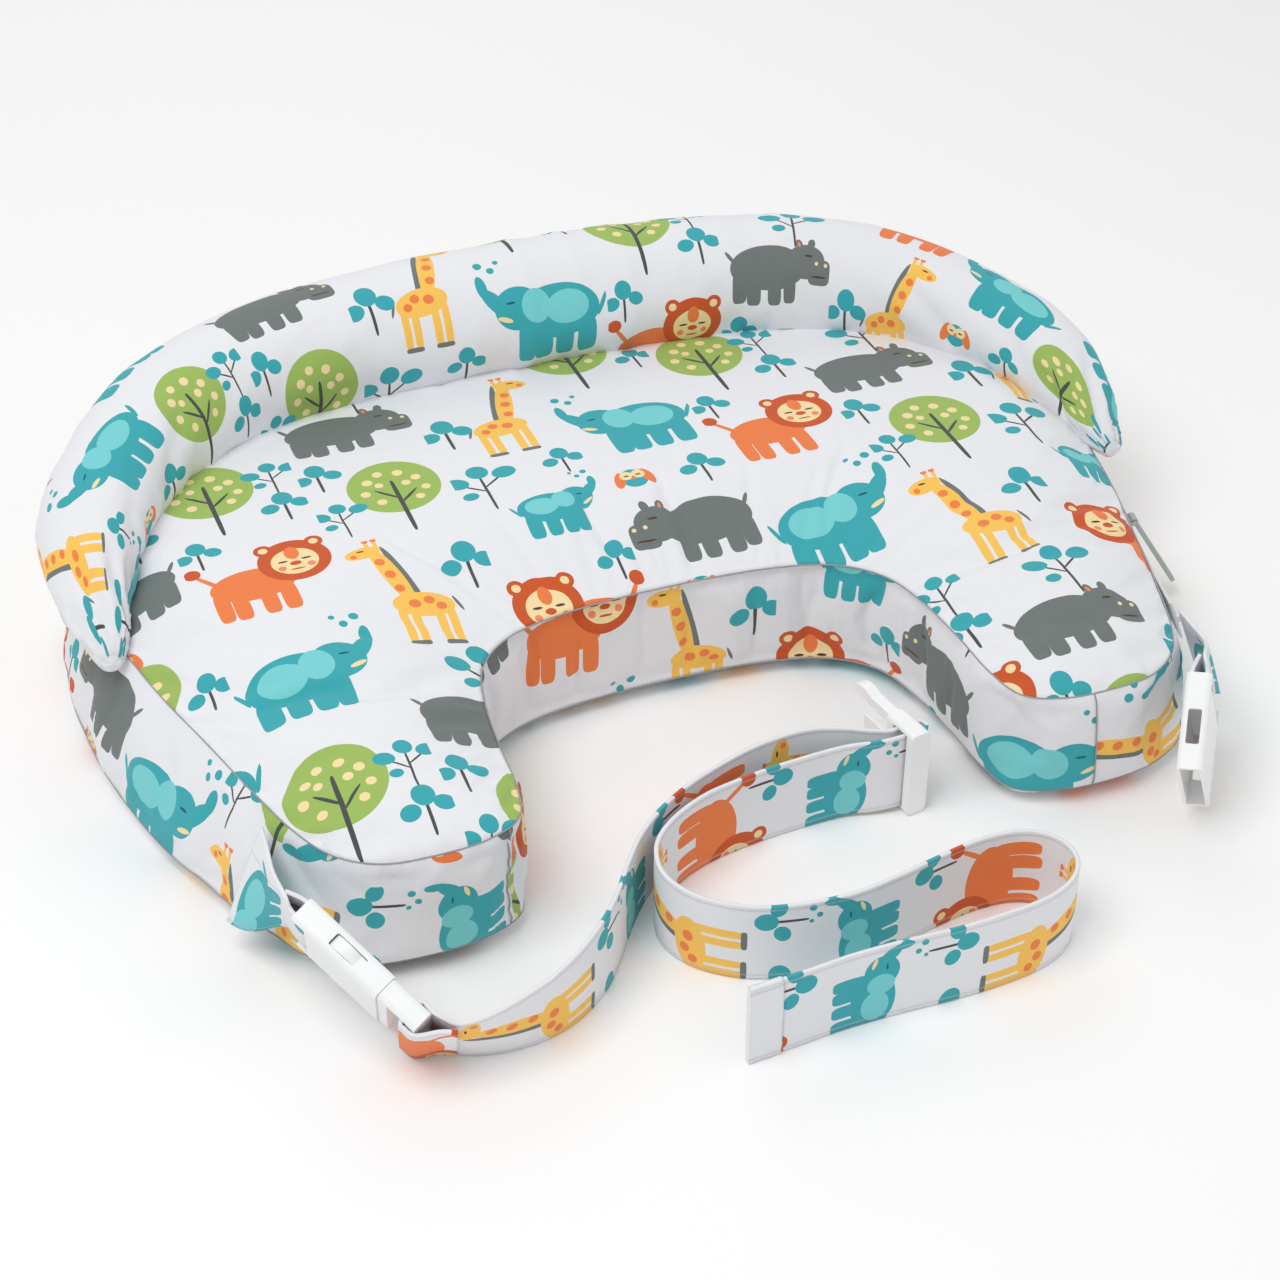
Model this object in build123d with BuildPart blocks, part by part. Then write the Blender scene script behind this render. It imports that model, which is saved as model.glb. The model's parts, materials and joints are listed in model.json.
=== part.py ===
"""Nursing pillow: a U-shaped cushion with a raised back roll, a zipped cover and a buckled waist belt.

+X is the wearer's left-to-right line, +Y points to the back of the U, +Z is up.
The origin is on the flat underside, on the cushion's mirror line.
"""
import os
from math import cos, radians, sin

from build123d import *

os.makedirs("parts", exist_ok=True)

# --- Driving dimensions, mm ---------------------------------------------------------------------
arm_front = 224         # from the origin forward to the two arm ends
back_depth = 230        # from the origin back to the lower seam
gap_half = 131          # half of the waist gap at its mouth
gap_neck_half = 122     # half of the waist gap where its rounded back begins
gap_neck_y = -76        # where the gap's side walls end
gap_back_y = -54        # deepest point of the waist gap
foot_tip_half = 270     # lower seam: half width at the arm ends
foot_flank_half = 324   # lower seam: half width at the flanks
foot_back_half = 303    # lower seam: half width at the back corners
lean_in = 26            # how far the outer band leans in from the lower to the upper seam
flank_y = 8             # where the flanks are widest
foot_seam_z = 12        # lower seam above the floor
top_seam_z = 76         # upper seam above the floor
crown = 12              # rise of the top panel over the upper seam
crown_inset = 14        # the crown's flat top stays this far inside the upper seam
sole_inset = 16         # the flat sole stays this far inside the lower seam
cover = 3               # thickness of the quilted cover
seam_gap = 0.3          # clearance between pieces that only lie together
left_seam_x = -146      # upright seam on the left arm end
right_seam_x = 176      # upright seam on the right arm end
tab_seam_y = -178       # the arm end bands stop and the outer bands start here

roll_radius = 42        # back roll at its thickest
roll_back_y = 195       # centre line of the roll behind the seat
roll_skin = 2.5         # cover thickness of the roll
valley_clear = 5        # space between the top panel and the roll

strap_width = 48
strap_thick = 2
strap_clear = 0.4       # clearance of the strap round a bar
floor_clear = 0.5       # the strap's lower edge above the floor
hem_length = 18
hem_thick = 4
snap_radius = 5
snap_rise = 1.6
tab_thick = 3
tab_root_width = 60

buckle_width = 54
buckle_thick = 14
buckle_corner = 3
socket_length = 55
socket_wall = 2
cavity_depth = 40
plug_clear = 0.3        # clearance of the plug in its socket
frame_thick = 12
base_length = 6         # plug's solid base, before the first strap slot
outer_bar = 5.2         # plug's flat outer bar
bar_radius = 2.2
bar_room = 6.3          # from a bar's centre to the wall beyond its strap
prong_length = 34
prong_width = 6.5       # across the buckle's thickness
prong_thick = 5.6
pad_length = 15
pad_rise = 1.9          # how far the latch pad stands up into its window
pad_end_gap = 0.5
window_slack = 4.4      # play of the pad in its window, towards the mouth
tongue_width = 16
tongue_length = 26
tongue_thick = 3.2

zip_length = 136
zip_centre_y = -96
zip_z = 56
slider_from_centre = 33
tape_width = 11
tape_thick = 1.4
chain_width = 4
chain_rise = 1
tooth_pitch = 4
stop_length = 3
slider_length = 11
slider_width = 9
slider_top = 1.6
bail_radius = 0.9
bail_rise = 2.4
bail_post = 1.2
pull_length = 55
pull_neck = 7
pull_width = 13
pull_thick = 2.6
pull_swing = 33         # the pull hangs this many degrees away from straight down


# --- Cushion outlines ---------------------------------------------------------------------------
def cushion_outline(z, lean=0, shrink=0):
    """U-shaped face at height z; lean pulls its outer edge in, shrink offsets all of it inwards."""
    half = [
        (gap_half, -arm_front, 24),
        (foot_tip_half - lean, -arm_front, 60 - lean / 2),
        (foot_flank_half - lean, flank_y, 200),
        (foot_back_half - lean, back_depth - lean / 3, 150 - lean),
    ]
    gap = [(-gap_neck_half, gap_neck_y, 45), (0, gap_back_y, 400), (gap_neck_half, gap_neck_y, 45)]
    corners = half + [(-x, y, r) for x, y, r in reversed(half)] + gap
    with BuildSketch(Plane.XY.offset(z)) as outline:
        with BuildLine():
            FilletPolyline(*[(x, y) for x, y, r in corners], radius=[r for x, y, r in corners], close=True)
        make_face()
        if shrink:
            offset(amount=-shrink, mode=Mode.REPLACE)
    return outline.sketch.face()


def between_seams(z_low, z_high, lean_low=0, lean_high=lean_in, shrink=0):
    """U-shaped block between two heights, with the band's lean between them."""
    with BuildPart() as block:
        loft([cushion_outline(z_low, lean_low, shrink), cushion_outline(z_high, lean_high, shrink)], ruled=True)
    return block.part


def flank_x(y, z):
    """Half width of the cushion's straight flank at a place along it and a height."""
    widen = (y + arm_front) * (foot_flank_half - foot_tip_half) / (flank_y + arm_front)
    return foot_tip_half + widen - lean_in * (z - foot_seam_z) / (top_seam_z - foot_seam_z)


def slab(x_low, x_high, y_low, y_high):
    """Upright block over the whole cushion height, to choose a stretch of the side band."""
    with BuildPart() as block:
        with BuildSketch(Plane.XY):
            with Locations(((x_low + x_high) / 2, (y_low + y_high) / 2)):
                Rectangle(x_high - x_low, y_high - y_low)
        extrude(amount=2 * top_seam_z)
    return block.part


# --- Bottom panel, inner pillow and side bands --------------------------------------------------
with BuildPart() as bottom_panel:
    loft([cushion_outline(0, shrink=sole_inset), cushion_outline(foot_seam_z)], ruled=True)
bottom_panel.part.label = "bottom_panel"

band_low, band_high = foot_seam_z + seam_gap, top_seam_z - seam_gap
with BuildPart() as inner_pillow:
    add(between_seams(band_low, band_high, shrink=cover + seam_gap))
    split(bisect_by=Plane.XY.offset(band_high - cover - seam_gap), keep=Keep.BOTTOM)
inner_pillow.part.label = "inner_pillow"

with BuildPart() as roll_seat:
    add(between_seams(band_low, band_high, shrink=cover + seam_gap))
    split(bisect_by=Plane.XY.offset(band_high - cover), keep=Keep.TOP)
roll_seat.part.label = "roll_seat"

with BuildPart() as band_ring:
    add(between_seams(band_low, band_high))
    add(between_seams(band_low, band_high, shrink=cover), mode=Mode.SUBTRACT)

far = 2 * foot_flank_half
inner_stretch = slab(left_seam_x, right_seam_x, -far, 0)
stretches = {
    "inner_band": inner_stretch,
    "end_band_left": slab(-far, left_seam_x - seam_gap, -far, tab_seam_y),
    "end_band_right": slab(right_seam_x + seam_gap, far, -far, tab_seam_y),
    "outer_band_left": slab(-far, -seam_gap, tab_seam_y + seam_gap, far) - inner_stretch,
    "outer_band_right": slab(0, far, tab_seam_y + seam_gap, far) - inner_stretch,
}
bands = {}
for name, stretch in stretches.items():
    with BuildPart() as band:
        add(band_ring.part)
        add(stretch, mode=Mode.INTERSECT)
    bands[name] = band.part


# --- Back roll: a crescent that thins out to a point at each flank --------------------------------
def roll_stations(skin=0):
    """Centre, radius and turn of the roll's sections, from its right tip to its left tip."""
    half = [
        ((301, 0), 5, 88),
        ((299, 28), 14, 97),
        ((290, 62), 23, 106),
        ((269, 105), 31, 122),
        ((233, 150), 36, 138),
        ((176, 181), 40, 158),
        ((95, 193), roll_radius, 176),
        ((0, roll_back_y), roll_radius, 180),
    ]
    mirrored = [((-x, y), r, 360 - turn) for (x, y), r, turn in half[-2::-1]]
    return [((x, y), r - skin, turn) for (x, y), r, turn in half + mirrored]


def roll_body(skin=0):
    """The roll as one smooth solid, cut flat where it sits on the cushion."""
    faces = []
    for (x, y), radius, turn in roll_stations(skin):
        along = Vector(cos(radians(turn)), sin(radians(turn)), 0)
        centre_z = top_seam_z + seam_gap + 0.97 * (radius + skin)
        with BuildSketch(Plane((x, y, centre_z), x_dir=(0, 0, 1), z_dir=along)) as section:
            Circle(radius)
        faces.append(section.sketch.face())
    with BuildPart() as body:
        loft(faces)
        split(bisect_by=Plane.XY.offset(top_seam_z + seam_gap + skin), keep=Keep.TOP)
    return body.part


with BuildPart() as bolster_cover:
    add(roll_body())
    add(roll_body(roll_skin), mode=Mode.SUBTRACT)
bolster_cover.part.label = "bolster_cover"

with BuildPart() as bolster_filling:
    add(roll_body(roll_skin + seam_gap))
bolster_filling.part.label = "bolster_filling"


# --- Top panel: fills the U in front of the roll --------------------------------------------------
def valley_face(z, shrink=0):
    """Outline of the top panel's back edge, which follows the inner side of the roll."""
    reach = roll_radius - valley_clear
    points = [(far, -far), (far, -40), (292, -10), (258, 70), (196, 136), (80, roll_back_y - reach)]
    with BuildSketch(Plane.XY.offset(z)) as valley:
        with BuildLine():
            Polyline(*points, *[(-x, y) for x, y in reversed(points)], close=True)
        make_face()
        if shrink:
            offset(amount=-shrink, mode=Mode.REPLACE)
    return valley.sketch


def panel_face(z, shrink):
    """The cushion's upper outline, cut back behind the valley."""
    with BuildSketch(Plane.XY.offset(z)) as panel:
        add(cushion_outline(z, lean_in, shrink))
        add(valley_face(z, shrink), mode=Mode.INTERSECT)
    return panel.sketch


with BuildPart() as top_panel:
    crown_steps = [(0, 0), (0.4, 0.2), (0.75, 0.55)]
    for (rise, inset), top in zip(crown_steps, [0.4, 0.75, 1]):
        extrude(panel_face(top_seam_z + seam_gap + rise * crown, inset * crown_inset), amount=(top - rise) * crown)
top_panel.part.label = "top_panel"


# --- Buckles: z runs out of the socket's mouth, x across the thickness ----------------------------
def lengthwise(at):
    """Plane through the buckle's middle; its x runs out of the mouth, its z along the width."""
    return Plane(at.origin, x_dir=at.z_dir, z_dir=at.y_dir)


def across_bar(at, z, profile, length):
    """Prism or cylinder along the buckle's width, centred at z along the buckle."""
    with BuildPart() as prism:
        with BuildSketch(lengthwise(at)):
            with Locations((z, 0)):
                add(profile)
        extrude(amount=length / 2, both=True)
    return prism.part


socket_bar_z = bar_radius - socket_length
pad_centre_z = -prong_length + pad_length / 2 + pad_end_gap
window_low = -prong_length
window_high = pad_centre_z + pad_length / 2 + window_slack
hinge_z = -plug_clear - prong_thick / 2
hinge_y = buckle_width / 2 - socket_wall - plug_clear - prong_thick / 2
middle_bar_z = plug_clear + base_length + bar_room
plug_end_z = middle_bar_z + bar_room + outer_bar

# Profiles seen along the buckle's width
pad_window = RectangleRounded(window_high - window_low, prong_width + 2 * plug_clear, 1.2)
strap_slot = Rectangle(2 * bar_room, 2 * buckle_thick)
round_bar = Circle(bar_radius)


def make_socket(at):
    """Female half: a flat sleeve with a side window for each latch pad and a strap bar at its root."""
    with BuildPart() as socket:
        with BuildSketch(at.offset(-socket_length)):
            RectangleRounded(buckle_thick, buckle_width, buckle_corner)
        extrude(amount=socket_length)
        with BuildSketch(at):
            Rectangle(buckle_thick - 2 * socket_wall, buckle_width - 2 * socket_wall)
        extrude(amount=-cavity_depth, mode=Mode.SUBTRACT)
        add(across_bar(at, (window_low + window_high) / 2, pad_window, 2 * buckle_width), mode=Mode.SUBTRACT)
        add(across_bar(at, socket_bar_z, strap_slot, strap_width + 1), mode=Mode.SUBTRACT)
        add(across_bar(at, socket_bar_z, round_bar, buckle_width - 2))
    return socket.part


def make_plug(at):
    """Male half without its prongs: base, two strap slots round a bar, and the guide tongue."""
    with BuildPart() as plug:
        with BuildSketch(at.offset(plug_clear)):
            RectangleRounded(frame_thick, buckle_width, buckle_corner)
        extrude(amount=plug_end_z - plug_clear)
        add(across_bar(at, middle_bar_z, strap_slot, strap_width + 1), mode=Mode.SUBTRACT)
        add(across_bar(at, middle_bar_z, round_bar, buckle_width - 2))
        with BuildSketch(at.offset(plug_clear)):
            Rectangle(tongue_thick, tongue_width)
        extrude(amount=-tongue_length)
    return plug.part


def make_prong(at, side):
    """Springy arm on one side (+1 or -1), with a domed latch pad near its tip."""
    outer = side * (hinge_y + prong_thick / 2)
    with BuildPart() as prong:
        with BuildSketch(lengthwise(at).offset(side * hinge_y)):
            with Locations(((hinge_z - prong_length) / 2, 0)):
                Rectangle(prong_length + hinge_z, prong_width)
        extrude(amount=prong_thick / 2, both=True)
        fillet(prong.edges().filter_by(Axis(at.origin, at.x_dir)).group_by(Axis(at.origin, at.z_dir))[0], 2.5)
        side_plane = Plane(at.origin, x_dir=at.z_dir, z_dir=-at.x_dir)
        with BuildSketch(side_plane):
            with Locations((hinge_z, side * hinge_y)):
                Circle(prong_thick / 2)
        extrude(amount=prong_width / 2, both=True)
        with BuildSketch(side_plane):
            with BuildLine():
                ends = [(pad_centre_z - pad_length / 2, outer), (pad_centre_z + pad_length / 2, outer)]
                ThreePointArc(ends[0], (pad_centre_z, outer + side * pad_rise), ends[1])
                Line(ends[1], ends[0])
            make_face()
        extrude(amount=prong_width / 2, both=True)
    return prong.part


# The left buckle leans against the arm; the right socket hangs; the right plug stands on the floor.
left_at = Plane((-228, -273.5, 35.5), x_dir=(0.859, 0.362, 0.361), z_dir=(0.497, -0.761, -0.417))
right_at = Plane((216, -268.5, 31), x_dir=(0.781, -0.609, 0.139), z_dir=(-0.471, -0.717, -0.514))
free_at = Plane((84, -179, buckle_width / 2 + floor_clear), x_dir=(0.987, 0.16, 0), z_dir=(0.16, -0.987, 0))

pieces = {
    "left_socket": make_socket(left_at),
    "right_socket": make_socket(right_at),
    "left_plug": make_plug(left_at),
    "right_plug": make_plug(free_at),
    "left_prong_top": make_prong(left_at, 1),
    "left_prong_bottom": make_prong(left_at, -1),
    "right_prong_top": make_prong(free_at, 1),
    "right_prong_bottom": make_prong(free_at, -1),
}


# --- Strap tabs: printed wings sewn into the outer seam, folded round the socket bars -------------
def strip_face(centre, across, along, width, thick):
    """Cross-section of a strip: across is its width direction, along the way it runs."""
    with BuildSketch(Plane(centre, x_dir=across, z_dir=along)) as section:
        Rectangle(width, thick)
    return section.sketch.face()


def ruled_spans(faces):
    """Solid ruled from each section to the next."""
    with BuildPart() as spans:
        for near, beyond in zip(faces, faces[1:]):
            loft([near, beyond], ruled=True)
    return spans.part


def make_tab(side, at):
    """Tapered wing from the arm's flank (side +1 or -1) to the loop round a socket's bar."""
    root_x = flank_x(tab_seam_y + 4, (foot_seam_z + top_seam_z) / 2) + tab_thick / 2 + seam_gap
    up = Vector(-side * lean_in, 0, top_seam_z - foot_seam_z).normalized()
    bar = at.origin + at.z_dir * (socket_bar_z - bar_radius - strap_clear - tab_thick)
    wide = at.y_dir if at.y_dir.Z > 0 else -at.y_dir
    root = Vector(side * root_x, tab_seam_y + 4, (foot_seam_z + top_seam_z) / 2)
    forward = Vector(foot_tip_half - foot_flank_half, 0, 0) * side - Vector(0, flank_y + arm_front, 0)
    bend = root + Vector(-side * 3, -27, 4)
    return ruled_spans([
        strip_face(root, up, forward, tab_root_width, tab_thick),
        strip_face(bend, up + wide, forward, (tab_root_width + strap_width) / 2, tab_thick),
        strip_face(bar, wide, at.z_dir, strap_width, tab_thick),
    ])


def make_loop(at):
    """Fabric sleeve round a socket's strap bar."""
    with BuildPart() as loop:
        with BuildSketch(lengthwise(at)):
            with Locations((socket_bar_z, 0)):
                Circle(bar_radius + strap_clear + strap_thick)
                Circle(bar_radius + strap_clear, mode=Mode.SUBTRACT)
        extrude(amount=strap_width / 2, both=True)
    return loop.part


pieces["left_strap_tab"] = make_tab(-1, left_at)
pieces["right_strap_tab"] = make_tab(1, right_at)
pieces["left_tab_loop"] = make_loop(left_at)
pieces["right_tab_loop"] = make_loop(right_at)


# --- Belt: one strip on edge, from its stitched left loop to its free hem -------------------------
def on_plug(at, z, x):
    """Point in a plug's middle plane, z along the buckle and x across its thickness."""
    return at.origin + at.z_dir * z + at.x_dir * x


turn_radius = bar_radius + strap_clear + strap_thick / 2
slot_near = middle_bar_z - turn_radius
slot_far = middle_bar_z + turn_radius
leaning = left_at.y_dir if left_at.y_dir.Z > 0 else -left_at.y_dir
floor_z = strap_width / 2 + floor_clear

# Loop through the left plug: x across the plug, z along it, both layers.
loop_side = frame_thick / 2 + strap_thick / 2 + strap_clear
bar_edge = middle_bar_z + bar_room
left_loop = [(39, 8.2), (33, 3), (27.5, -4.5), (plug_end_z, -loop_side), (bar_edge, -loop_side - 0.2)]
left_loop += [(slot_far, 1 - loop_side), (slot_far, loop_side - 1)]
left_loop += [(bar_edge, loop_side + 0.2), (plug_end_z, loop_side), (30, 8.8)]
belt_line = [(on_plug(left_at, z, x), 1) for z, x in left_loop]
# Free run on the floor: the lower edge's X and Y, its lift, and how far the strip still leans.
belt_floor = [
    (-197, -286, 0, 0.85), (-184, -291, 0, 0.7), (-169, -293, 0, 0.5), (-151, -291, 0, 0.3),
    (-134, -284, 0, 0.12), (-117, -271, 0, 0), (-103, -254, 0, 0), (-91, -236, 0, 0), (-78, -219, 0, 0),
    (-62, -204, 0, 0), (-42, -191, 0, 0), (-20, -181, 0, 0), (0, -174, 0, 0), (20, -170, 0, 0),
    (39, -170, 0, 0), (55, -176.5, 1, 0), (67, -184.5, 2, 0),
]
belt_back = [
    (66, -195, 2, 0), (50, -191, 1, 0), (24, -191, 0, 0), (-5, -194, 0, 0), (-33, -200, 0, 0),
    (-54, -210, 0, 0), (-69, -223, 0, 0), (-76, -237, 0, 0), (-77, -252, 0, 0), (-71, -267, 0, 0),
    (-60, -279, 0, 0), (-44, -289, 0, 0), (-22, -295, 0, 0), (5, -297, 0, 0), (32, -293, 0, 0),
    (58, -287, 0, 0), (82, -283, 0, 0), (102, -284, 0, 0), (115, -291, 0, 0), (121, -303, 0, 0),
    (119, -316, 0, 0), (109, -327, 0, 0), (92, -334, 0, 0), (70, -337, 0, 0), (44, -338, 0, 0),
    (14, -337, 0, 0), (-14, -337, 0, 0), (-38, -339, 0, 0), (-52, -340, 0, 0),
]


def from_floor(x, y, lift, lean):
    """Strip centre and lean for a lower edge that stands at (x, y)."""
    wide = (Vector(0, 0, 1) * (1 - lean) + leaning * lean).normalized()
    return Vector(x, y, floor_clear + lift) + wide * (strap_width / 2), lean


turn_x = frame_thick / 2 + 1
turn = [(slot_near, -9), (slot_near, 0), (slot_near, turn_x)]
turn += [
    (middle_bar_z - turn_radius * cos(radians(a)), turn_x + turn_radius * sin(radians(a)))
    for a in (30, 60, 90, 120, 150)
]
turn += [(slot_far, turn_x), (slot_far, 0), (slot_far, -9)]
belt_line += [from_floor(*place) for place in belt_floor]
belt_line += [(on_plug(free_at, z, x), 0) for z, x in turn]
belt_line += [from_floor(*place) for place in belt_back]


def strip_along(line, thick):
    """Strip of the strap's width, ruled from each station of a line to the next."""
    centres = [centre for centre, lean in line]
    faces = []
    for i, (centre, lean) in enumerate(line):
        wide = (Vector(0, 0, 1) * (1 - lean) + leaning * lean).normalized()
        along = (centres[min(i + 1, len(line) - 1)] - centres[max(i - 1, 0)]).normalized()
        along = (along - wide * along.dot(wide)).normalized()
        faces.append(strip_face(centre, wide, along, strap_width, thick))
    return ruled_spans(faces)


pieces["belt_strap"] = strip_along(belt_line, strap_thick)
end, before = belt_line[-1][0], belt_line[-2][0]
hem_way = (end - before).normalized()
hem_line = [(end + hem_way * seam_gap, 0), (end + hem_way * (hem_length / 2), 0), (end + hem_way * hem_length, 0)]
pieces["belt_end_hem"] = strip_along(hem_line, hem_thick)
snap_face = Plane((21, -170 - strap_thick / 2 - 0.6, 24), x_dir=(0, 0, 1), z_dir=(0.04, -1, 0))
with BuildPart() as snap_cap:
    with BuildSketch(snap_face):
        Circle(snap_radius)
    extrude(amount=snap_rise)
    fillet(snap_cap.faces().sort_by(Axis.Y)[0].edges(), snap_rise / 3)
pieces["snap_cap"] = snap_cap.part


# --- Zip on the right flank: x along the teeth to the back, z out of the cover --------------------
flank_way = Vector(foot_flank_half - foot_tip_half, flank_y + arm_front, 0).normalized()
flank_up = Vector(-lean_in, 0, top_seam_z - foot_seam_z).normalized()
zip_at = Plane((flank_x(zip_centre_y, zip_z), zip_centre_y, zip_z), x_dir=flank_way, z_dir=flank_way.cross(flank_up))
tape_centre = chain_width / 2 + seam_gap + tape_width / 2
zip_height = chain_width + 2 * tape_width + 4 * seam_gap

with BuildPart() as zip_window:
    with BuildSketch(zip_at):
        Rectangle(zip_length + 2 * seam_gap, zip_height)
    extrude(amount=cover + 2, both=True)
bands["outer_band_right"] -= zip_window.part

for name, side in (("zip_tape_upper", 1), ("zip_tape_lower", -1)):
    with BuildPart() as tape:
        with BuildSketch(zip_at):
            with Locations((0, side * tape_centre)):
                Rectangle(zip_length, tape_width)
        extrude(amount=-tape_thick)
    pieces[name] = tape.part

teeth_length = zip_length - 2 * stop_length - 2 * seam_gap
with BuildPart() as zip_teeth:
    with BuildSketch(zip_at.offset(-tape_thick)):
        Rectangle(teeth_length, chain_width)
    extrude(amount=tape_thick)
    with BuildSketch(zip_at):
        with GridLocations(tooth_pitch, 0, int(teeth_length / tooth_pitch), 1):
            Rectangle(tooth_pitch / 2, chain_width)
    extrude(amount=chain_rise)
pieces["zip_teeth"] = zip_teeth.part

for name, side in (("zip_front_stop", -1), ("zip_back_stop", 1)):
    with BuildPart() as stop:
        with BuildSketch(zip_at.offset(-tape_thick)):
            with Locations((side * (zip_length - stop_length) / 2, 0)):
                Rectangle(stop_length, chain_width)
        extrude(amount=tape_thick + 2 * chain_rise)
    pieces[name] = stop.part

plate_low = chain_rise + seam_gap
plate_high = plate_low + slider_top
bail_z = plate_high + bail_rise
slider_at = Plane(zip_at.origin + zip_at.x_dir * slider_from_centre, x_dir=zip_at.x_dir, z_dir=zip_at.z_dir)
with BuildPart() as zip_slider:
    with BuildSketch(slider_at.offset(seam_gap)):
        Rectangle(slider_length, slider_width)
    extrude(amount=plate_high - seam_gap)
    with BuildSketch(slider_at.offset(seam_gap)):
        Rectangle(slider_length, chain_width + 2 * seam_gap)
    extrude(amount=chain_rise, mode=Mode.SUBTRACT)
    with BuildSketch(slider_at.offset(plate_high)):
        with GridLocations(slider_length - bail_post, 0, 2, 1):
            Rectangle(bail_post, 2 * bail_radius)
    extrude(amount=bail_rise + bail_radius)
    with BuildSketch(Plane(slider_at.origin + slider_at.z_dir * bail_z, z_dir=slider_at.x_dir)):
        Circle(bail_radius)
    extrude(amount=slider_length / 2 - bail_post / 2, both=True)
pieces["zip_slider"] = zip_slider.part

out_flat = Vector(flank_way.Y, -flank_way.X, 0)
pull_way = out_flat * sin(radians(pull_swing)) - Vector(0, 0, 1) * cos(radians(pull_swing))
pull_at = Plane(
    slider_at.origin + slider_at.z_dir * bail_z, x_dir=flank_way, z_dir=flank_way.cross(pull_way)
)
sleeve_inner = bail_radius + 0.3
sleeve_outer = sleeve_inner + 0.9
with BuildPart() as zip_pull:
    with BuildSketch(pull_at):
        with BuildLine():
            Polyline((-pull_neck / 2, sleeve_inner + 0.4), (-pull_width / 2, pull_length - pull_width / 2))
            RadiusArc(
                (-pull_width / 2, pull_length - pull_width / 2),
                (pull_width / 2, pull_length - pull_width / 2),
                pull_width / 2,
            )
            Polyline(
                (pull_width / 2, pull_length - pull_width / 2),
                (pull_neck / 2, sleeve_inner + 0.4),
                (-pull_neck / 2, sleeve_inner + 0.4),
            )
        make_face()
    extrude(amount=pull_thick / 2, both=True)
    with BuildSketch(Plane(pull_at.origin, x_dir=pull_at.y_dir, z_dir=pull_at.x_dir)):
        Circle(sleeve_outer)
    extrude(amount=pull_neck / 2, both=True)
    with BuildSketch(Plane(pull_at.origin, x_dir=pull_at.y_dir, z_dir=pull_at.x_dir)):
        Circle(sleeve_inner)
    extrude(amount=pull_neck, both=True, mode=Mode.SUBTRACT)
pieces["zip_pull"] = zip_pull.part


# --- Write every piece ----------------------------------------------------------------------------
for name, piece in {**bands, **pieces}.items():
    piece.label = name
for piece in [bottom_panel.part, inner_pillow.part, roll_seat.part, bolster_cover.part,
              bolster_filling.part, top_panel.part, *bands.values(), *pieces.values()]:
    export_step(piece, f"parts/{piece.label}.step")
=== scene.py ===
"""Nursing pillow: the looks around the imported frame. Tables are in mm, the scene is in metres."""

import json
from math import cos, pi, radians, sin

import bmesh
import bpy
import numpy as np
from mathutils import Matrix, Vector, noise


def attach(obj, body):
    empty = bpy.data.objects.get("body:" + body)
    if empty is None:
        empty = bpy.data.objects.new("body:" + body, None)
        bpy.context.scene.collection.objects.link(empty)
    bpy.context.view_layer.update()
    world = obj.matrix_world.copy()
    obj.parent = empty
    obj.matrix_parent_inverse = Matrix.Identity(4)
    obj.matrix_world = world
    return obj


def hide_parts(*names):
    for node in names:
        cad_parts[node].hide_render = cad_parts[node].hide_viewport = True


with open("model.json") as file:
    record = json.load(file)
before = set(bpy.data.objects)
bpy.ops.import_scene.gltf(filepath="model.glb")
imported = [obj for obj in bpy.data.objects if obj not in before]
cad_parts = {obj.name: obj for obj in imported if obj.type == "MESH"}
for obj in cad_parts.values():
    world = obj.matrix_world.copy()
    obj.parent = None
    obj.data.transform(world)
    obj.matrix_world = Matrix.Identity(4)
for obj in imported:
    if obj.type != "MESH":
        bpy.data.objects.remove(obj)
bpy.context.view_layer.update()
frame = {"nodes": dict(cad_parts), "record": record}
scene = bpy.context.scene

# --- Camera: a long lens, left of and above the opening of the U ------------------------------------
# The square picture is 36 mm of sensor wide, and the target is on the floor beside the origin.
azimuth, elevation = radians(-21), radians(36)
camera = bpy.data.objects.new("camera", bpy.data.cameras.new("camera"))
scene.collection.objects.link(camera)
scene.camera = camera
back = Vector((sin(azimuth) * cos(elevation), -cos(azimuth) * cos(elevation), sin(elevation)))
camera.location = Vector((0.006, 0, 0)) + back * 1.4817
camera.rotation_mode = "QUATERNION"
camera.rotation_quaternion = back.to_track_quat("Z", "Y")
camera.data.lens, camera.data.sensor_width = 70.3, 36

# --- Light and floor: a bright white sweep with one large soft light over the left shoulder ----------
# The floor is nearly as bright as the background, with a faint shadow under the cushion.
scene.view_settings.view_transform = "Standard"
scene.world = bpy.data.worlds.new("studio")
scene.world.use_nodes = True
scene.world.node_tree.nodes["Background"].inputs["Color"].default_value = (1, 1, 1, 1)
scene.world.node_tree.nodes["Background"].inputs["Strength"].default_value = 0.55
for name, place, size, power in (
    ("key", (-0.9, -0.5, 1.9), 1.2, 19),
    ("fill", (1.6, -0.9, 1.2), 1.6, 5),
    ("rim", (0.2, 1.8, 1.5), 1.6, 8),
):
    lamp = bpy.data.objects.new(name, bpy.data.lights.new(name, "AREA"))
    lamp.data.size, lamp.data.energy = size, power
    lamp.location = place
    lamp.rotation_mode = "QUATERNION"
    lamp.rotation_quaternion = Vector(place).to_track_quat("Z", "Y")
    scene.collection.objects.link(lamp)

bm = bmesh.new()
bmesh.ops.create_grid(bm, x_segments=1, y_segments=1, size=6)
floor_mesh = bpy.data.meshes.new("floor")
bm.to_mesh(floor_mesh)
bm.free()
floor = bpy.data.objects.new("floor", floor_mesh)
scene.collection.objects.link(floor)
floor_white = bpy.data.materials.new("floor")
floor_white.use_nodes = True
floor_white.node_tree.nodes["Principled BSDF"].inputs["Base Color"].default_value = (0.97, 0.97, 0.97, 1)
floor_white.node_tree.nodes["Principled BSDF"].inputs["Roughness"].default_value = 0.9
floor_mesh.materials.append(floor_white)


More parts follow.
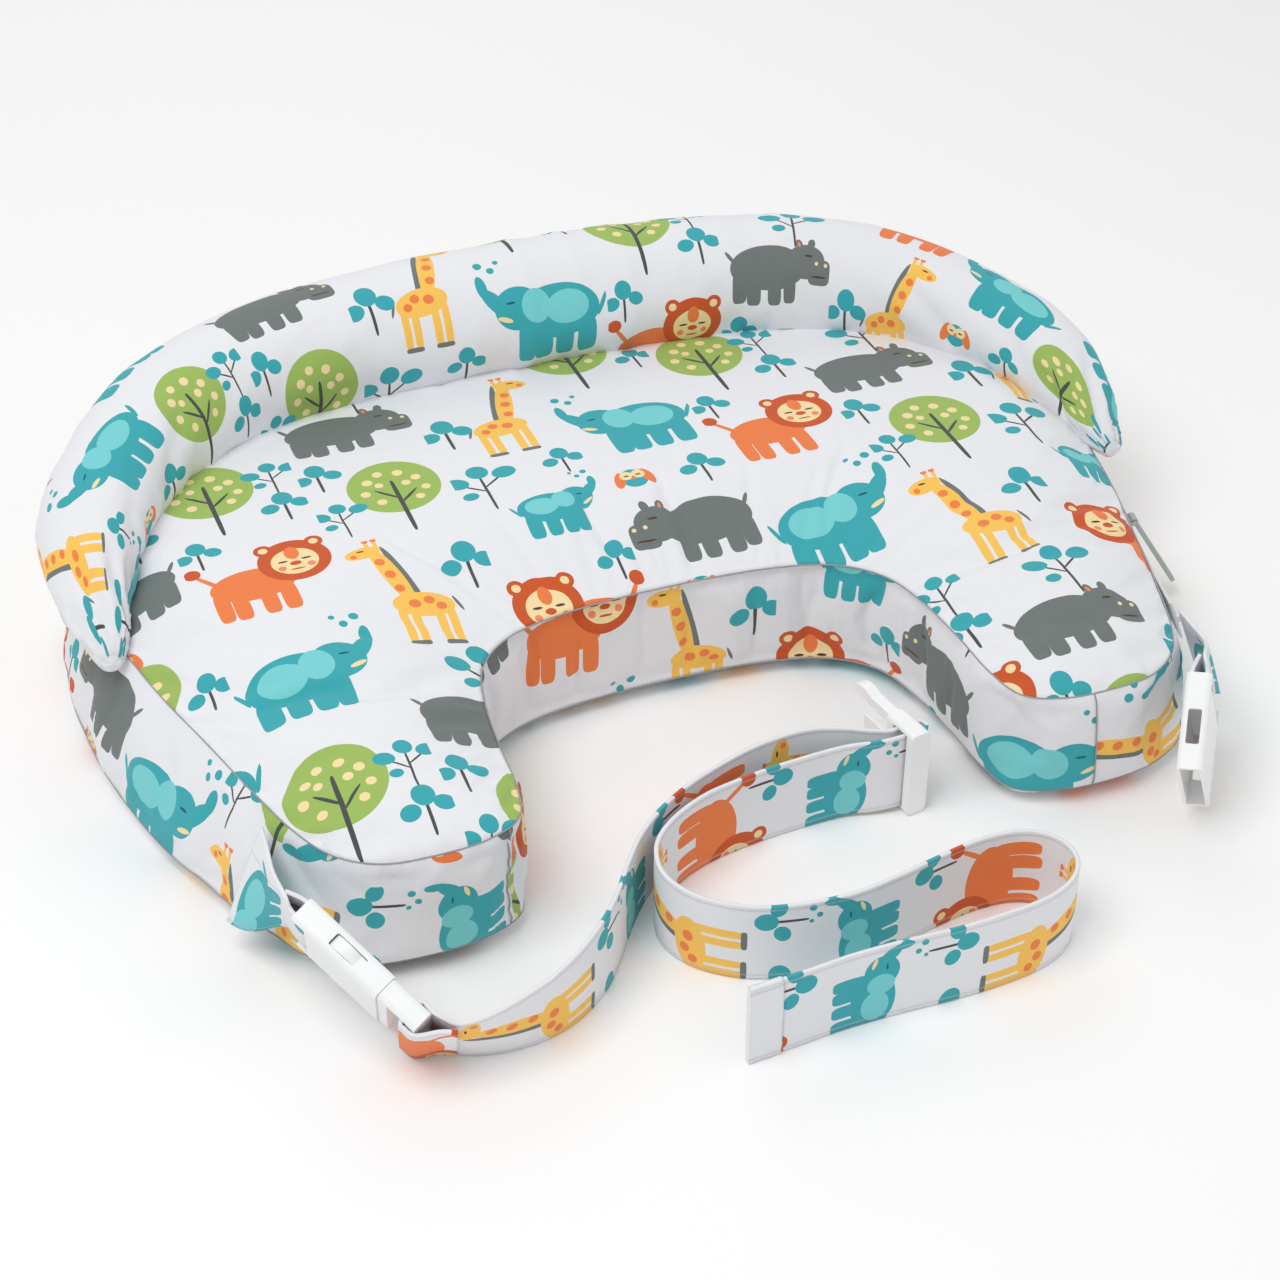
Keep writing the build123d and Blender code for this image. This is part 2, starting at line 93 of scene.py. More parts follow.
# --- Print: one table of motifs, each a short list of soft-cornered ellipses --------------------------
# Every slot of the node group looks its ellipse up by the motif of the cell that it is in.
def linear(*rgb):
    """Screen colour, 0 to 255, as linear light."""
    return tuple((c / 255 / 12.92 if c < 11 else ((c / 255 + 0.055) / 1.055) ** 2.4) for c in rgb)


teal, pale_teal, deep_teal = linear(58, 168, 177), linear(120, 208, 211), linear(25, 95, 105)
orange, mane, cream = linear(238, 128, 70), linear(205, 88, 42), linear(246, 222, 168)
yellow, spot, grey = linear(250, 198, 92), linear(240, 132, 72), linear(112, 120, 118)
green, bark, ink, blush = linear(158, 188, 96), linear(76, 80, 77), linear(84, 62, 52), linear(243, 140, 104)
# Each shape: x, y, half width, half height, turn in degrees, power (2 an ellipse, 4 nearly a box), colour
lion = [
    (33, 6, 1.5, 13, -35, 2, orange), (40, 17, 4.5, 4.5, 0, 2, mane), (12, -4, 23, 14, 0, 2, orange),
    (-4, -21, 4.6, 12, 0, 4, orange), (7, -21, 4.4, 12, 0, 4, orange), (22, -21, 4.4, 12, 0, 4, orange),
    (31, -19, 4.2, 13, 0, 4, orange), (-14, 10, 20, 19, 0, 2, mane), (-28, 24, 5.2, 5.2, 0, 2, mane),
    (0, 24, 5.2, 5.2, 0, 2, mane), (-28, 24, 2.6, 2.6, 0, 2, cream), (0, 24, 2.6, 2.6, 0, 2, cream),
    (-14, 9, 13, 12, 0, 2, cream), (-14, 17, 4, 6, 0, 2, orange), (-14, 7, 3.2, 2, 0, 2, mane),
    (-20.5, 10, 2.8, 0.8, 0, 2, ink), (-7.5, 10, 2.8, 0.8, 0, 2, ink), (-22, 4, 2.2, 2.2, 0, 2, blush),
    (-6, 4, 2.2, 2.2, 0, 2, blush), (-14, 1.5, 4, 0.7, 0, 2, mane),
]
giraffe = [
    (2, 14, 2.4, 25, 14, 2, grey), (7, -13, 18, 9.5, -6, 2, yellow), (-4, 12, 5.6, 27, 14, 2, yellow),
    (-15, 35, 11, 5.5, 8, 2, yellow), (-11, 42, 1.2, 4, 0, 4, yellow), (-6, 42, 1.2, 4, 0, 4, yellow),
    (-11, 46, 2, 2, 0, 2, spot), (-6, 46, 2, 2, 0, 2, spot), (-7, -29, 2.6, 15, 0, 4, yellow),
    (0, -29, 2.6, 15, 0, 4, yellow), (14, -29, 2.6, 15, 0, 4, yellow), (21, -29, 2.6, 15, 0, 4, yellow),
    (-3.5, -43, 6.2, 1.7, 0, 4, grey), (17.5, -43, 6.2, 1.7, 0, 4, grey), (-8, 24, 3, 3, 0, 2, spot),
    (-5, 13, 3.2, 3.2, 0, 2, spot), (-3, 1, 3, 3, 0, 2, spot), (2, -12, 3.6, 3.2, 0, 2, spot),
    (11, -10, 3.2, 3, 0, 2, spot), (17, -15, 3, 2.8, 0, 2, spot), (-16, 37, 2.4, 0.7, 0, 2, ink),
    (-21, 33, 2, 2, 0, 2, spot), (27, -14, 1, 6, 20, 2, grey),
]
elephant = [
    (-37, 2, 1.4, 8, 25, 2, teal), (-8, 2, 27, 18, 0, 2, teal), (18, 8, 15, 14, 0, 2, teal),
    (31, 13, 5, 13, -38, 2, teal), (38, 25, 3.4, 8, -4, 2, teal), (-26, -18, 6.4, 13, 0, 4, teal),
    (-11, -19, 6, 12, 0, 4, teal), (3, -19, 6, 12, 0, 4, teal), (14, -17, 5.6, 14, 0, 4, teal),
    (-14, 4, 14, 11, 0, 2, pale_teal), (6, 8, 9.5, 11, 0, 2, pale_teal), (22, 12, 3, 0.8, 0, 2, deep_teal),
    (29, 36, 2.4, 2.4, 0, 2, teal), (36, 41, 2.8, 2.8, 0, 2, teal), (24, 42, 1.8, 1.8, 0, 2, teal),
    (27, 2, 5, 1.6, 20, 2, cream),
]
hippo = [
    (33, 8, 1.3, 5, -30, 2, grey), (6, 0, 28, 15, 0, 2, grey), (-22, 4, 14, 12, 0, 2, grey),
    (-32, -3, 8.5, 8.5, 0, 4, grey), (-17, 16, 2.6, 4, -10, 2, grey), (-26, 17, 2.6, 4, 10, 2, grey),
    (-9, -15, 5, 9, 0, 4, grey), (3, -16, 5, 9, 0, 4, grey), (18, -16, 5, 9, 0, 4, grey),
    (28, -13, 5, 10, 0, 4, grey), (-24, 8, 3, 0.8, 0, 2, ink), (-37, 2, 1.3, 1.3, 0, 2, cream),
    (-30, 3, 1.3, 1.3, 0, 2, cream), (-17, 16, 1, 2, -10, 2, blush), (-32, -6, 6, 0.7, 0, 2, ink),
]
tree = [
    (0, 5, 28, 28, 0, 2, green), (0, -16, 1.4, 28, 0, 4, bark), (-6, -2, 1, 9, 45, 2, bark),
    (6, -7, 1, 9, -45, 2, bark), (-14, 14, 3.2, 3.2, 0, 2, cream), (-6, 21, 3, 3, 0, 2, cream),
    (6, 19, 3.2, 3.2, 0, 2, cream), (15, 11, 3, 3, 0, 2, cream), (-18, 2, 3, 3, 0, 2, cream),
    (-8, 9, 2.6, 2.6, 0, 2, cream), (8, 7, 2.8, 2.8, 0, 2, cream), (18, -1, 2.8, 2.8, 0, 2, cream),
    (-11, -9, 3, 3, 0, 2, cream), (12, -10, 2.8, 2.8, 0, 2, cream),
]
owl = [
    (0, 0, 8, 9, 0, 2, teal), (-8.5, 0, 3.2, 8, -15, 2, orange), (8.5, 0, 3.2, 8, 15, 2, orange),
    (-3.6, 3.4, 4, 4, 0, 2, cream), (3.6, 3.4, 4, 4, 0, 2, cream), (-3.6, 3, 1.6, 0.7, 0, 2, ink),
    (3.6, 3, 1.6, 0.7, 0, 2, ink), (0, 0.5, 1.2, 1.8, 0, 2, orange),
]
sprig = [
    (0, -4, 0.8, 9, 0, 4, bark), (0, 8, 5.4, 6, 0, 2, teal), (-8, 0, 5, 4.2, 25, 2, teal),
    (8, 2, 5, 4.2, -25, 2, teal),
]
plant = [
    (0, -8, 0.8, 17, 0, 4, bark), (-6, -2, 0.7, 9, 52, 2, bark), (6, 2, 0.7, 9, -52, 2, bark),
    (0, 13, 6.2, 6.2, 0, 2, teal), (-14, 5, 7, 5.4, -15, 2, teal), (14, 9, 7, 5.4, 15, 2, teal),
    (-10, -9, 4.6, 3.6, 10, 2, teal),
]


def placed(shapes, dx=0, dy=0, size=1, flip=1):
    """A motif's shapes moved, scaled and, with flip -1, mirrored."""
    return [(dx + x * size * flip, dy + y * size, w * size, h * size, turn * flip, power, colour)
            for x, y, w, h, turn, power, colour in shapes]


motifs = [
    placed(lion, -4, 0) + placed(sprig, 30, 30),
    placed(tree, -9, -2, 0.95) + placed(owl, -9, 34) + placed(sprig, 30, -18),
    placed(elephant, -1, -2, 0.97),
    placed(giraffe, -12, 0, 0.94) + placed(sprig, 28, 12, 1.25),
    placed(plant, -23, 20, 1.05) + placed(elephant, 10, -14, 0.68) + placed(sprig, 28, 29),
    placed(hippo, 2, -12) + placed(owl, -20, 30) + placed(sprig, 22, 27, 1.1),
    placed(lion, 4, -2, flip=-1) + placed(sprig, -29, 30),
    placed(tree, 9, -1, 0.95) + placed(plant, -27, -18, 0.8) + placed(sprig, -29, 26, 1.1),
    placed(giraffe, 12, 0, 0.94, -1) + placed(sprig, -27, -10, 1.25),
    placed(elephant, 1, -2, 0.97, -1),
    placed(tree, -11, -1, 0.95) + placed(plant, 27, 6, 0.8) + placed(sprig, 27, -27, 1.1),
    placed(hippo, -2, -14, 1, -1) + placed(plant, 12, 25),
]
# Cells in mm. A ramp can't hold a value below 0, so each number is stored with lift added to it.
cell_wide, cell_high, columns, rows, lift = 80, 88, 4, 3, 100
slots = max(len(m) for m in motifs)

printed = bpy.data.node_groups.new("animal print", "ShaderNodeTree")
printed.interface.new_socket("Place", in_out="INPUT", socket_type="NodeSocketVector")
printed.interface.new_socket("Colour", in_out="OUTPUT", socket_type="NodeSocketColor")


def math(tree, kind, a, b=None, c=None):
    """A Math node; each input is a number or a socket."""
    node = tree.nodes.new("ShaderNodeMath")
    node.operation = kind
    for socket, value in zip(node.inputs, (a, b, c)):
        if isinstance(value, (int, float)):
            socket.default_value = value
        elif value is not None:
            tree.links.new(value, socket)
    return node.outputs[0]


def looked_up(tree, factor, values):
    """A ramp of constant steps that gives the motif's own four numbers."""
    node = tree.nodes.new("ShaderNodeValToRGB")
    node.color_ramp.interpolation = "CONSTANT"
    node.color_ramp.elements.remove(node.color_ramp.elements[1])
    node.color_ramp.elements[0].position = 0
    node.color_ramp.elements[0].color = values[0]
    for i, value in enumerate(values[1:], 1):
        node.color_ramp.elements.new(i / len(values)).color = value
    tree.links.new(factor, node.inputs[0])
    return node.outputs["Color"], node.outputs["Alpha"]


entry = printed.nodes.new("NodeGroupInput")
split = printed.nodes.new("ShaderNodeSeparateXYZ")
printed.links.new(entry.outputs[0], split.inputs[0])
across = math(printed, "DIVIDE", split.outputs[0], cell_wide / 1000)
column = math(printed, "FLOOR", across)
stagger = math(printed, "FRACT", math(printed, "MULTIPLY", column, 0.37))
upward = math(printed, "ADD", math(printed, "DIVIDE", split.outputs[1], cell_high / 1000), stagger)
row = math(printed, "FLOOR", upward)
x = math(printed, "MULTIPLY_ADD", math(printed, "FRACT", across), cell_wide, -cell_wide / 2)
y = math(printed, "MULTIPLY_ADD", math(printed, "FRACT", upward), cell_high, -cell_high / 2)
column_kind = math(printed, "FLOORED_MODULO", column, columns)
row_kind = math(printed, "FLOORED_MODULO", row, rows)
motif_at = math(printed, "DIVIDE", math(printed, "ADD", math(printed, "MULTIPLY_ADD", row_kind, columns,
                                                            column_kind), 0.5), columns * rows)
here = printed.nodes.new("ShaderNodeCombineXYZ")
printed.links.new(x, here.inputs[0])
printed.links.new(y, here.inputs[1])
here.inputs[2].default_value = 1
lifted = math(printed, "MULTIPLY", math(printed, "ADD", math(printed, "ADD", x, y), 1), lift)

ground = printed.nodes.new("ShaderNodeRGB")
ground.outputs[0].default_value = (*linear(233, 234, 238), 1)
colour, kind = ground.outputs[0], motif_at
for k in range(slots):
    along, over, tint = [], [], []
    for shapes in motifs:
        if k >= len(shapes):
            # An empty slot: its ellipse is always out of reach.
            along.append((lift, lift, lift + 9, 2))
            over.append((lift, lift, lift + 9, 2))
            tint.append((*cream, 1))
            continue
        sx, sy, w, h, turn, power, paint = shapes[k]
        c, s = cos(radians(turn)), sin(radians(turn))
        along.append((c / w + lift, s / w + lift, -(c * sx + s * sy) / w + lift, power))
        over.append((-s / h + lift, c / h + lift, (s * sx - c * sy) / h + lift, power))
        tint.append((*paint, 1))
    inside = None
    for values in (along, over):
        terms, power = looked_up(printed, kind, values)
        dot = printed.nodes.new("ShaderNodeVectorMath")
        dot.operation = "DOT_PRODUCT"
        printed.links.new(terms, dot.inputs[0])
        printed.links.new(here.outputs[0], dot.inputs[1])
        reach = math(printed, "POWER", math(printed, "SUBTRACT", dot.outputs["Value"], lifted), power)
        inside = reach if inside is None else math(printed, "ADD", inside, reach)
    mix = printed.nodes.new("ShaderNodeMix")
    mix.data_type = "RGBA"
    covered = math(printed, "LESS_THAN", inside, 1)
    printed.links.new(covered, mix.inputs[0])
    printed.links.new(colour, mix.inputs[6])
    printed.links.new(looked_up(printed, kind, tint)[0], mix.inputs[7])
    colour = mix.outputs[2]
    # The next slot waits for this one: too many results at once overflow the shader's stack.
    kind = math(printed, "MULTIPLY_ADD", covered, 1e-7, motif_at)
leave = printed.nodes.new("NodeGroupOutput")
printed.links.new(colour, leave.inputs[0])


# --- Fabric: fine plain-weave cotton, printed or white, with soft creases from its bump ----------------
# The print and the weave follow the piece's own "print" UV map, in metres of cloth.
def cotton(name, with_print=True, shade=(233, 234, 238), stitched=0.0):
    """Cotton material; stitched is the cloth width, in metres, of a strip that is topstitched at both edges."""
    material = bpy.data.materials.new(name)
    material.use_nodes = True
    tree = material.node_tree
    surface = tree.nodes["Principled BSDF"]
    place = tree.nodes.new("ShaderNodeUVMap")
    place.uv_map = "print"
    if with_print:
        group = tree.nodes.new("ShaderNodeGroup")
        group.node_tree = printed
        tree.links.new(place.outputs[0], group.inputs[0])
        base = group.outputs[0]
    else:
        plain = tree.nodes.new("ShaderNodeRGB")
        plain.outputs[0].default_value = (*linear(*shade), 1)
        base = plain.outputs[0]
    solid = tree.nodes.new("ShaderNodeTexCoord").outputs["Object"]
    cloud = tree.nodes.new("ShaderNodeTexNoise")
    cloud.inputs["Scale"].default_value, cloud.inputs["Detail"].default_value = 34, 3
    tree.links.new(solid, cloud.inputs["Vector"])
    height = math(tree, "MULTIPLY", cloud.outputs["Fac"], 0.0014)
    for direction in ("X", "Y"):
        thread = tree.nodes.new("ShaderNodeTexWave")
        thread.bands_direction = direction
        thread.inputs["Scale"].default_value = 320
        tree.links.new(place.outputs[0], thread.inputs["Vector"])
        height = math(tree, "MULTIPLY_ADD", thread.outputs["Fac"], 0.00004, height)
    fine = tree.nodes.new("ShaderNodeTexNoise")
    fine.inputs["Scale"].default_value = 900
    tree.links.new(solid, fine.inputs["Vector"])
    height = math(tree, "MULTIPLY_ADD", fine.outputs["Fac"], 0.00006, height)
    if stitched:
        parts = tree.nodes.new("ShaderNodeSeparateXYZ")
        edge_map = tree.nodes.new("ShaderNodeUVMap")
        edge_map.uv_map = "edge"
        tree.links.new(edge_map.outputs[0], parts.inputs[0])
        off_line = math(tree, "ABSOLUTE", math(tree, "SUBTRACT", math(tree, "ABSOLUTE", math(
            tree, "SUBTRACT", parts.outputs[1], stitched / 2)), stitched / 2 - 0.0026))
        dash = math(tree, "LESS_THAN", math(tree, "FRACT", math(tree, "MULTIPLY", parts.outputs[0], 330)), 0.72)
        groove = math(tree, "LESS_THAN", off_line, 0.0006)
        height = math(tree, "MULTIPLY_ADD", groove, -0.0003, height)
        height = math(tree, "MULTIPLY_ADD", math(tree, "MULTIPLY", groove, dash), 0.0002, height)
        # Along the groove line the colour is mixed 35 % towards grey: painted shade in the stitch groove.
        groove_shade_mix = tree.nodes.new("ShaderNodeMix")
        groove_shade_mix.data_type = "RGBA"
        tree.links.new(math(tree, "MULTIPLY", groove, 0.35), groove_shade_mix.inputs[0])
        tree.links.new(base, groove_shade_mix.inputs[6])
        groove_shade_mix.inputs[7].default_value = (*linear(196, 196, 200), 1)
        base = groove_shade_mix.outputs[2]
    bump = tree.nodes.new("ShaderNodeBump")
    bump.inputs["Strength"].default_value, bump.inputs["Distance"].default_value = 0.9, 1
    tree.links.new(height, bump.inputs["Height"])
    tree.links.new(bump.outputs[0], surface.inputs["Normal"])
    tree.links.new(base, surface.inputs["Base Color"])
    surface.inputs["Roughness"].default_value = 0.82
    surface.inputs["Sheen Weight"].default_value = 0.12
    surface.inputs["Specular IOR Level"].default_value = 0.25
    return material


cover_cloth = cotton("printed cotton")


# --- Cushion: top, side band and sole on one mesh, with its seams as exact edge loops -----------------
# Half outlines of the upper and lower seam, from the middle of the gap round the arm end to the back.
upper_half = [
    (0, -56), (56, -59), (95, -69), (118, -90), (127, -120), (131, -155), (133, -190),
    (140, -213), (160, -223), (185, -225), (212, -222), (233, -208),
    (246, -185), (256, -155), (264, -128), (273, -95), (283, -60), (291, -25), (297, 10), (298, 50), (290, 95),
    (270, 140), (235, 178), (185, 203), (120, 216), (60, 221), (0, 222),
]
lower_half = [
    (0, -55), (56, -58), (95, -68), (119, -89), (128, -120), (132, -155), (134, -190),
    (140, -212), (160, -222), (188, -225), (222, -221), (248, -206),
    (262, -182), (275, -157), (286, -130), (299, -98), (309, -60), (316, -22), (319, 12), (320, 52), (313, 100),
    (293, 147), (257, 186), (203, 212), (133, 226), (66, 230), (0, 231),
]
inner_corner, outer_corner = 7, 11


def smooth_line(points, closed=False, dense=24):
    """Catmull-Rom line through points as an array, and the index of each given point on it."""
    p = np.array(points, float)
    n = len(p)
    line = []
    for i in range(n if closed else n - 1):
        a, b, c, d = (p[(i + k) % n] if closed else p[min(max(i + k, 0), n - 1)] for k in (-1, 0, 1, 2))
        t = np.arange(dense)[:, None] / dense
        bend, twist = 2 * a - 5 * b + 4 * c - d, 3 * b - a - 3 * c + d
        line.append(0.5 * (2 * b + (c - a) * t + bend * t**2 + twist * t**3))
    line.append(p[:1] if closed else p[-1:])
    return np.vstack(line), [i * dense for i in range(n)]


def spaced(line, count):
    """count + 1 points at even steps along a line."""
    steps = np.r_[0, np.cumsum(np.linalg.norm(np.diff(line, axis=0), axis=1))]
    at = np.linspace(0, steps[-1], count + 1)
    return np.stack([np.interp(at, steps, line[:, k]) for k in range(line.shape[1])], 1)


def four_sides(half, along, across_count):
    """Inner side, left and right arm end and outer side, each as evenly spaced points."""
    whole = half + [(-x, y) for x, y in half[-2:0:-1]]
    line, at = smooth_line(whole, closed=True)
    n = len(half)
    right_in, right_out = at[inner_corner], at[outer_corner]
    left_out, left_in = at[2 * (n - 1) - outer_corner], at[2 * (n - 1) - inner_corner]
    end_right = spaced(line[right_in:right_out + 1], across_count)
    outer = spaced(line[right_out:left_out + 1], along)[::-1]
    end_left = spaced(line[left_out:left_in + 1], across_count)[::-1]
    inner = spaced(np.vstack([line[left_in:], line[1:right_in + 1]]), along)
    return inner, end_left, end_right, outer


def coons(sides):
    """Grid of points between four sides, from left to right along the U and from inner to outer across it."""
    inner, left, right, outer = sides
    u = np.linspace(0, 1, len(inner))[:, None, None]
    v = np.linspace(0, 1, len(left))[None, :, None]
    ruled = inner[:, None] * (1 - v) + outer[:, None] * v + left[None] * (1 - u) + right[None] * u
    corners = (inner[0] * (1 - u) * (1 - v) + outer[0] * (1 - u) * v
               + inner[-1] * u * (1 - v) + outer[-1] * u * v)
    return ruled - corners


def ring_of(grid):
    """Border of a grid as one closed ring, given as the grid indices of its points."""
    n, m = grid.shape[0] - 1, grid.shape[1] - 1
    index = [(i, 0) for i in range(n)] + [(n, j) for j in range(m)] + [(i, m) for i in range(n, 0, -1)]
    index += [(0, j) for j in range(m, 0, -1)]
    return index


n_along, n_across, n_up = 250, 36, 14
seam_low, seam_high = 10.0, 76.0
upper = coons(four_sides(upper_half, n_along, n_across))
lower = coons(four_sides(lower_half, n_along, n_across))
border = ring_of(upper)


def to_border(grid):
    """Distance of every grid point to the grid's border."""
    ring = np.array([grid[i, j] for i, j in border])
    flat = grid.reshape(-1, 2)
    far = np.empty(len(flat))
    for start in range(0, len(flat), 1000):
        chunk = flat[start:start + 1000]
        far[start:start + 1000] = np.sqrt(((chunk[:, None] - ring[None]) ** 2).sum(2)).min(1)
    return far.reshape(grid.shape[:2])


rise = 12 * (1 - np.exp(-to_border(upper) / 22))
sag = seam_low - 9.5 * (1 - np.exp(-to_border(lower) / 9))
top_edge = seam_high - 2.5 * np.clip((-upper[..., 1] - 120) / 100, 0, 1)
bm = bmesh.new()
up = bm.loops.layers.uv.new("print")
top_verts = [[bm.verts.new((*(upper[i, j] / 1000), (top_edge[i, j] + rise[i, j]) / 1000))
              for j in range(n_across + 1)] for i in range(n_along + 1)]
sole_verts = [[bm.verts.new((*(lower[i, j] / 1000), sag[i, j] / 1000))
               for j in range(n_across + 1)] for i in range(n_along + 1)]
rings = []
for k in range(n_up + 1):
    if k in (0, n_up):
        rings.append([(sole_verts if k == 0 else top_verts)[i][j] for i, j in border])
        continue
    t = k / n_up
    made = []
    for i, j in border:
        low, high = lower[i, j], upper[i, j]
        z = seam_low * (1 - t) + top_edge[i, j] * t
        made.append(bm.verts.new((*((low * (1 - t) + high * t) / 1000), z / 1000)))
    rings.append(made)


def face(corners, places):
    """Quad with its corners' places on the cloth, in metres."""
    made = bm.faces.new(corners)
    made.smooth = True
    for loop, place in zip(made.loops, places):
        loop[up].uv = place
    return made


for i in range(n_along):
    for j in range(n_across):
        quad = [top_verts[i][j], top_verts[i + 1][j], top_verts[i + 1][j + 1], top_verts[i][j + 1]]
        face(quad, [(v.co.x + 0.41, v.co.y + 0.33) for v in quad])
        quad = [sole_verts[i][j], sole_verts[i][j + 1], sole_verts[i + 1][j + 1], sole_verts[i + 1][j]]
        face(quad, [(v.co.x, v.co.y) for v in quad])
ring_xy = np.array([upper[i, j] for i, j in border + border[:1]]) / 1000
run = np.r_[0, np.cumsum(np.linalg.norm(np.diff(ring_xy, axis=0), axis=1))]
turned = [p[1] < -0.176 and (p[0] < -0.146 or p[0] > 0.176) for p in ring_xy]
for s in range(len(border)):
    e = (s + 1) % len(border)
    for k in range(n_up):
        quad = [rings[k][s], rings[k][e], rings[k + 1][e], rings[k + 1][s]]
        a, b = run[s], run[s + 1]
        z0, z1 = quad[0].co.z, quad[2].co.z
        if turned[s]:
            places = [(z0 + 0.02, -a), (z0 + 0.02, -b), (z1 + 0.02, -b), (z1 + 0.02, -a)]
        else:
            places = [(a, z0), (b, z0), (b, z1), (a, z1)]
        face(quad, places)
bmesh.ops.recalc_face_normals(bm, faces=bm.faces)
crease = bm.edges.layers.float.new("crease_edge")
for ring in (rings[0], rings[-1]):
    for s in range(len(border)):
        bm.edges.get((ring[s - 1], ring[s]))[crease] = 0.9
bm.verts.index_update()
ring_at = [[v.index for v in ring] for ring in rings]
cushion_mesh = bpy.data.meshes.new("cushion_cover")
bm.to_mesh(cushion_mesh)
bm.free()
cushion = bpy.data.objects.new("cushion_cover", cushion_mesh)
scene.collection.objects.link(cushion)
cushion_mesh.materials.append(cover_cloth)


def swell(obj, pressure, slack, pinned, cap, frames=20):
    """Inflates a sewn shell with Cloth, holding its pinned vertices, and caps how far a point may move."""
    start = np.array([v.co for v in obj.data.vertices])
    group = obj.vertex_groups.new(name="held")
    group.add([int(i) for i in np.flatnonzero(pinned)], 1, "REPLACE")
    cloth = obj.modifiers.new("cloth", "CLOTH")
    settings = cloth.settings
    settings.quality, settings.mass, settings.air_damping = 6, 0.25, 4
    settings.tension_stiffness = settings.compression_stiffness = 12
    settings.shear_stiffness, settings.bending_stiffness = 4, 0.4
    settings.use_pressure, settings.uniform_pressure_force = True, pressure
    settings.shrink_min = settings.shrink_max = -slack
    settings.vertex_group_mass, settings.pin_stiffness = "held", 1
    settings.effector_weights.gravity = 0
    cloth.collision_settings.use_collision = False
    cloth.collision_settings.use_self_collision = False
    cloth.point_cache.frame_start, cloth.point_cache.frame_end = 1, frames
    for number in range(1, frames + 1):
        scene.frame_set(number)
    shown = obj.evaluated_get(bpy.context.evaluated_depsgraph_get())
    moved = np.array([v.co for v in shown.data.vertices])
    obj.modifiers.remove(cloth)
    scene.frame_set(1)
    shift = moved - start
    size = np.linalg.norm(shift, axis=1, keepdims=True)
    shift *= np.minimum(1, cap / np.maximum(size, 1e-9))
    obj.data.vertices.foreach_set("co", (start + shift).ravel())
    obj.data.update()


def refine(obj):
    """One subdivision, applied."""
    obj.modifiers.new("finer", "SUBSURF").levels = 1
    shown = obj.evaluated_get(bpy.context.evaluated_depsgraph_get())
    finer = bpy.data.meshes.new_from_object(shown, preserve_all_data_layers=True,
                                            depsgraph=bpy.context.evaluated_depsgraph_get())
    obj.modifiers.clear()
    obj.data = finer


places = np.array([v.co for v in cushion_mesh.vertices])
held = np.zeros(len(places), bool)
held[ring_at[0] + ring_at[-1]] = True
held |= places[:, 2] < 0.004
# The flank stays flat behind the zip, so that the slider runs clear of it.
zip_y, zip_z = -0.0955, 0.056
held |= (places[:, 0] > 0.2) & (np.abs(places[:, 1] - zip_y) < 0.078) & (np.abs(places[:, 2] - zip_z) < 0.016)
swell(cushion, 5, 0.03, held, 0.013)
places = np.array([v.co for v in cushion_mesh.vertices])
upper_seam, lower_seam = places[ring_at[-1]], places[ring_at[0]]
upright_seams = []
for x_seam in (-0.146, 0.176):
    column = min(range(len(border)),
                 key=lambda s: abs(upper_seam[s][0] - x_seam) + 9 * (upper_seam[s][1] > -0.21))
    upright_seams.append(places[[ring[column] for ring in ring_at]])
refine(cushion)


def ripples(along_at, over_at, lengths, seed):
    """Sharp-crested ripples along a seam that drift as they leave it, between about -1 and 1."""
    chance = np.random.default_rng(seed)
    total = np.zeros(len(along_at))
    for length in lengths:
        wander = chance.uniform(-0.5, 0.5) * over_at / length
        gate = 0.5 + 0.5 * np.sin(along_at / (length * 1.7) + chance.uniform(0, 6.3))
        wave = np.sin(along_at * pi / length + chance.uniform(0, 6.3) + wander)
        total += gate * (1 - 2 * np.abs(wave) ** 0.7)
    return total / len(lengths)


co = np.array([v.co for v in cushion.data.vertices])
normals = np.array([v.normal for v in cushion.data.vertices])
seam_run = np.r_[0, np.cumsum(np.linalg.norm(np.diff(upper_seam, axis=0), axis=1))]
nearest, off = np.empty(len(co), int), np.empty(len(co))
for start in range(0, len(co), 2000):
    gaps = np.linalg.norm(co[start:start + 2000, None] - upper_seam[None], axis=2)
    nearest[start:start + 2000], off[start:start + 2000] = gaps.argmin(1), gaps.min(1)
at_seam = seam_run[nearest]
inner = nearest < n_along
on_top = normals[:, 2] > 0.5
fade = np.clip(off / 0.004, 0, 1) * (co[:, 2] > 0.012)
zip_bay = (co[:, 0] > 0.2) * np.clip(1 - (np.abs(co[:, 1] - zip_y) - 0.074) / 0.02, 0, 1)
zip_bay *= np.clip(1 - (np.abs(co[:, 2] - zip_z) - 0.012) / 0.012, 0, 1)
pull = np.where(inner, 0.0019, 0.0011) * np.exp(-off / np.where(inner, 0.045, 0.03))
shape = ripples(at_seam, off, (0.017, 0.026, 0.041), 5) * pull * on_top
shape += ripples(at_seam, off, (0.009, 0.014), 8) * np.where(on_top, 0.0005, 0.0011) * np.exp(-off / 0.013)
shape += ripples(at_seam, off, (0.031, 0.052), 3) * 0.0015 * np.clip(off / 0.02, 0, 1) * (~on_top)
shape = shape * fade * (1 - zip_bay) - 0.0012 * zip_bay
cushion.data.vertices.foreach_set("co", (co + normals * shape[:, None]).ravel())
cushion.data.update()

